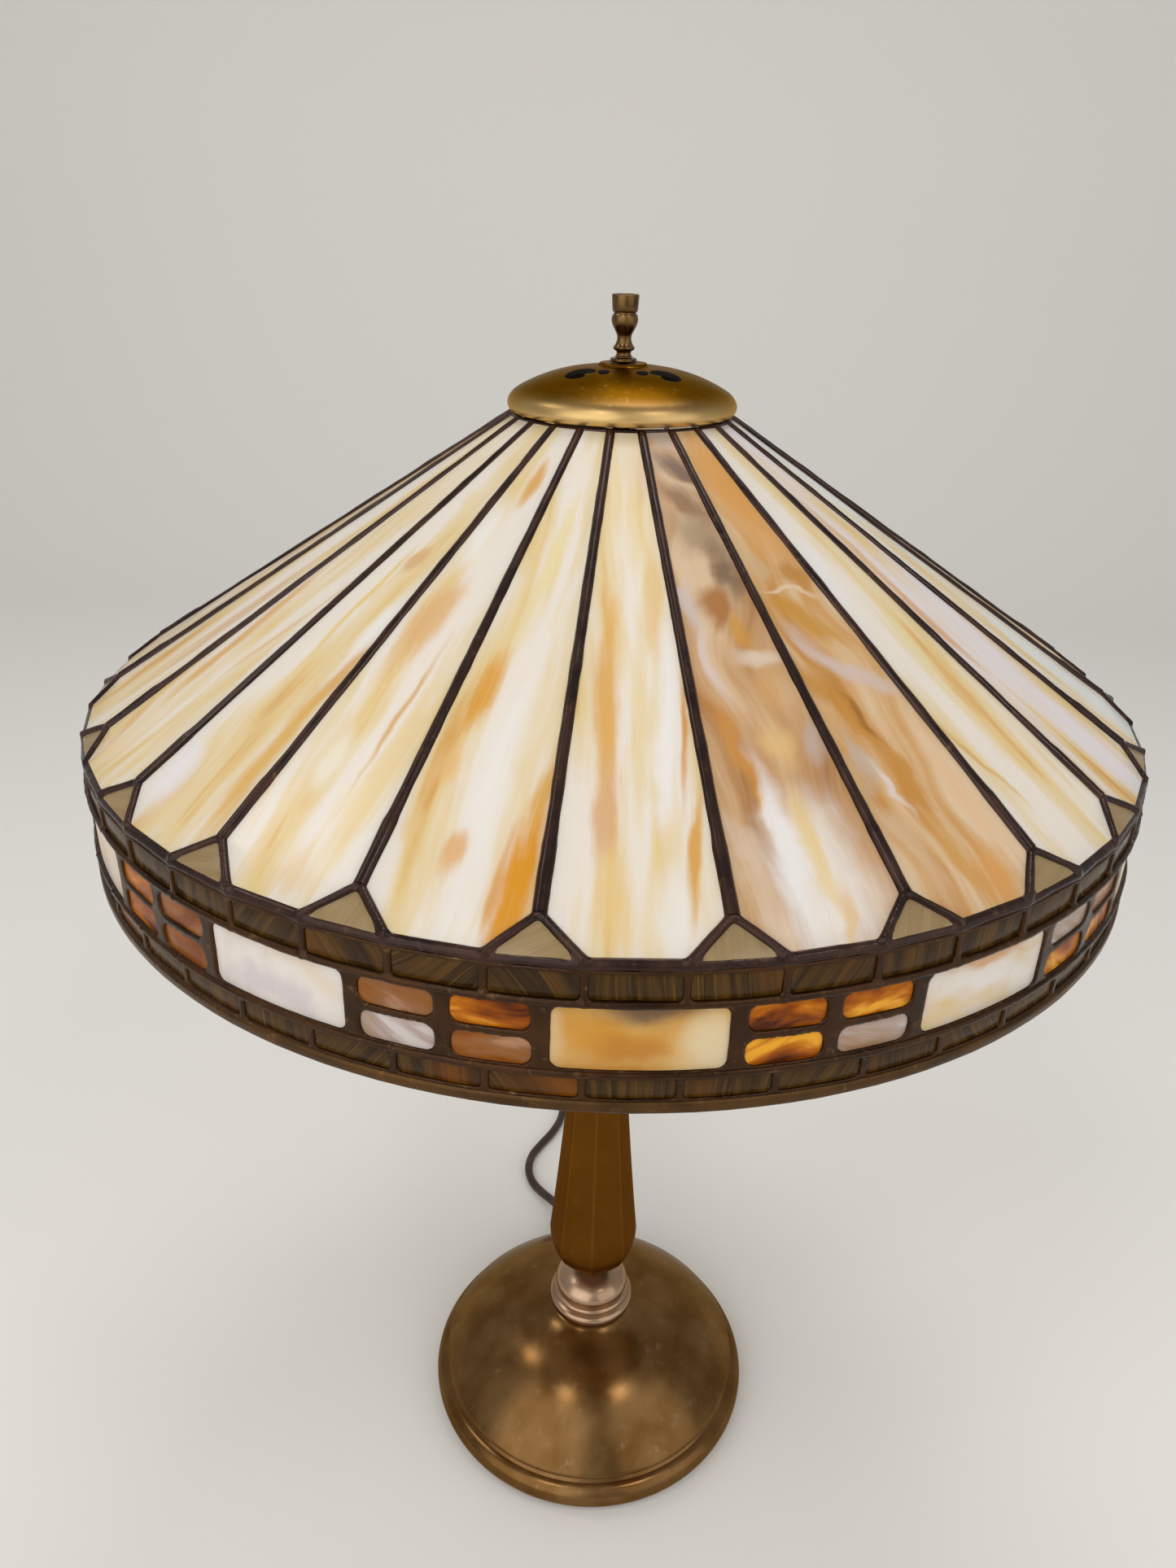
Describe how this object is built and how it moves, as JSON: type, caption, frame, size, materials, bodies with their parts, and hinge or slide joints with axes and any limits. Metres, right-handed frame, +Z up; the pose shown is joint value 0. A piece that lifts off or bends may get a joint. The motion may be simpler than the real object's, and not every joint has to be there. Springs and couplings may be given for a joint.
{
  "type": "stained glass table lamp",
  "caption": "Table lamp: faceted opalescent glass shade with a banded skirt, pierced heat cap and finial, on a turned bronze base and tapered column; shade turns and lifts off, finial unscrews.",
  "frame": {"origin": "on the lamp's axis, on the surface that the felt pad rests on", "axes": "+Z up along the column, -Y towards the viewer in the picture, +X to the viewer's right"},
  "size_m": [0.4606, 0.5852, 0.6378],
  "materials": {
    "cone_glass": "streaky cream, white and amber opalescent, gloss",
    "corner_glass": "grey-tan opalescent in dark came",
    "border_glass": "grey-brown streaky, gloss",
    "plaque_glass": "cream plaques and amber bricks, gloss",
    "came": "dark brown patinated solder",
    "brass": "plain brass",
    "cap_brass": "aged golden brass, satin",
    "finial_brass": "aged brown brass, satin",
    "fibre": "fibre washer",
    "felt": "felt",
    "base_bronze": "dark mottled bronze, semi-gloss",
    "column_bronze": "brown bronze, satin",
    "iron": "raw casting",
    "steel": "plated",
    "lead_cover": "matte",
    "key_plastic": "gloss",
    "bulb_glass": "frosted white",
    "cord_cover": "dark reddish brown, satin",
    "tie": "matte",
    "plug_plastic": "satin"
  },
  "bodies": {
    "stand": {"felt_pad": "felt", "base_shell": "base_bronze", "base_weight": "iron", "base_locknut": "steel", "neck_collar": "base_bronze", "column": "column_bronze", "stem_pipe": "steel", "supply_lead": "lead_cover", "cluster_body": "brass", "shade_rod": "brass", "seat_nut": "brass", "socket_1": "brass", "socket_2": "brass", "strain_relief": "cord_cover", "cord_run": "cord_cover", "cord_coil": "cord_cover", "cord_tie": "tie", "plug": "plug_plastic"},
    "shade_seat": {"shade_washer": "fibre"},
    "shade": {"cone_panel_01": "cone_glass", "cone_panel_02": "cone_glass", "cone_panel_03": "cone_glass", "cone_panel_04": "cone_glass", "cone_panel_05": "cone_glass", "cone_panel_06": "cone_glass", "cone_panel_07": "cone_glass", "cone_panel_08": "cone_glass", "cone_panel_09": "cone_glass", "cone_panel_10": "cone_glass", "cone_panel_11": "cone_glass", "cone_panel_12": "cone_glass", "cone_panel_13": "cone_glass", "cone_panel_14": "cone_glass", "cone_panel_15": "cone_glass", "cone_panel_16": "cone_glass", "cone_panel_17": "cone_glass", "cone_panel_18": "cone_glass", "cone_panel_19": "cone_glass", "cone_panel_20": "cone_glass", "cone_panel_21": "cone_glass", "cone_panel_22": "cone_glass", "cone_panel_23": "cone_glass", "cone_panel_24": "cone_glass", "cone_came": "came", "corner_band": "corner_glass", "upper_brick_row": "border_glass", "upper_band_came": "came", "plaque_band": "plaque_glass", "lower_band_came": "came", "lower_brick_row": "border_glass", "rim_channel": "came", "top_ring": "brass", "spider": "brass"},
    "cap": {"heat_cap": "cap_brass"},
    "finial_seat": {"finial_washer": "finial_brass"},
    "finial": {"finial": "finial_brass"},
    "key_1": {"socket_key_1": "key_plastic"},
    "key_2": {"socket_key_2": "key_plastic"},
    "bulb_1": {"bulb_1": "bulb_glass"},
    "bulb_2": {"bulb_2": "bulb_glass"}
  },
  "joints": [
    {"name": "shade_turn", "type": "hinge", "parent": "stand", "child": "shade_seat", "pos_m": [0, 0, 0.58], "axis": [0, 0, 1], "continuous": true},
    {"name": "shade_lift", "type": "slide", "parent": "shade_seat", "child": "shade", "axis": [0, 0, 1], "range_m": [0, 0.2]},
    {"name": "cap_lift", "type": "slide", "parent": "shade", "child": "cap", "axis": [0, 0, 1], "range_m": [0, 0.05]},
    {"name": "finial_rise", "type": "slide", "parent": "cap", "child": "finial_seat", "axis": [0, 0, 1], "range_m": [0, 0.00471]},
    {"name": "finial_turn", "type": "hinge", "parent": "finial_seat", "child": "finial", "pos_m": [0, 0, 0.614], "axis": [0, 0, 1], "range_deg": [0, 1800]},
    {"name": "key_1_turn", "type": "hinge", "parent": "stand", "child": "key_1", "pos_m": [0.0426, 0, 0.43166], "axis": [0, -1, 0], "continuous": true},
    {"name": "key_2_turn", "type": "hinge", "parent": "stand", "child": "key_2", "pos_m": [-0.0426, 0, 0.43166], "axis": [0, -1, 0], "continuous": true},
    {"name": "bulb_1_turn", "type": "hinge", "parent": "stand", "child": "bulb_1", "pos_m": [0, 0, 0.4118], "axis": [0.9063, 0, 0.4226], "range_deg": [0, 1440]},
    {"name": "bulb_2_turn", "type": "hinge", "parent": "stand", "child": "bulb_2", "pos_m": [0, 0, 0.4118], "axis": [-0.9063, 0, 0.4226], "range_deg": [0, 1440]}
  ],
  "couplings": [
    {"joint": "finial_rise", "follows": "finial_turn", "m_per_rad": 0.00014972}
  ]
}
